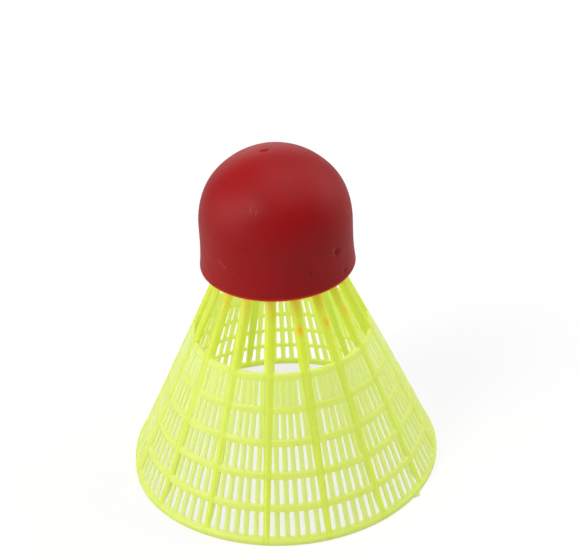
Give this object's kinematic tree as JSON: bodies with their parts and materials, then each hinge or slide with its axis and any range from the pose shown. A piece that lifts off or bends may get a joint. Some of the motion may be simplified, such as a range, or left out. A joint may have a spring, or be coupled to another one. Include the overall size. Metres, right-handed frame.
{
  "type": "badminton shuttlecock",
  "caption": "Badminton shuttlecock with a rounded rubber head on a flared net skirt of ribs, ring bands and fine bars, standing on its rim.",
  "frame": {"origin": "centre of the rim, on the plane the shuttlecock stands on", "axes": "+Z along the axis from the rim to the head; +X through one of the ribs"},
  "size_m": [0.058, 0.058, 0.0628],
  "materials": {
    "head_rubber": "matte, as moulded, lightly scuffed",
    "core_foam": "matte closed-cell foam",
    "skirt_plastic": "translucent fluorescent yellow-green, satin"
  },
  "bodies": {
    "root": {"head_cap": "head_rubber", "head_core": "core_foam", "skirt": "skirt_plastic"}
  },
  "joints": []
}
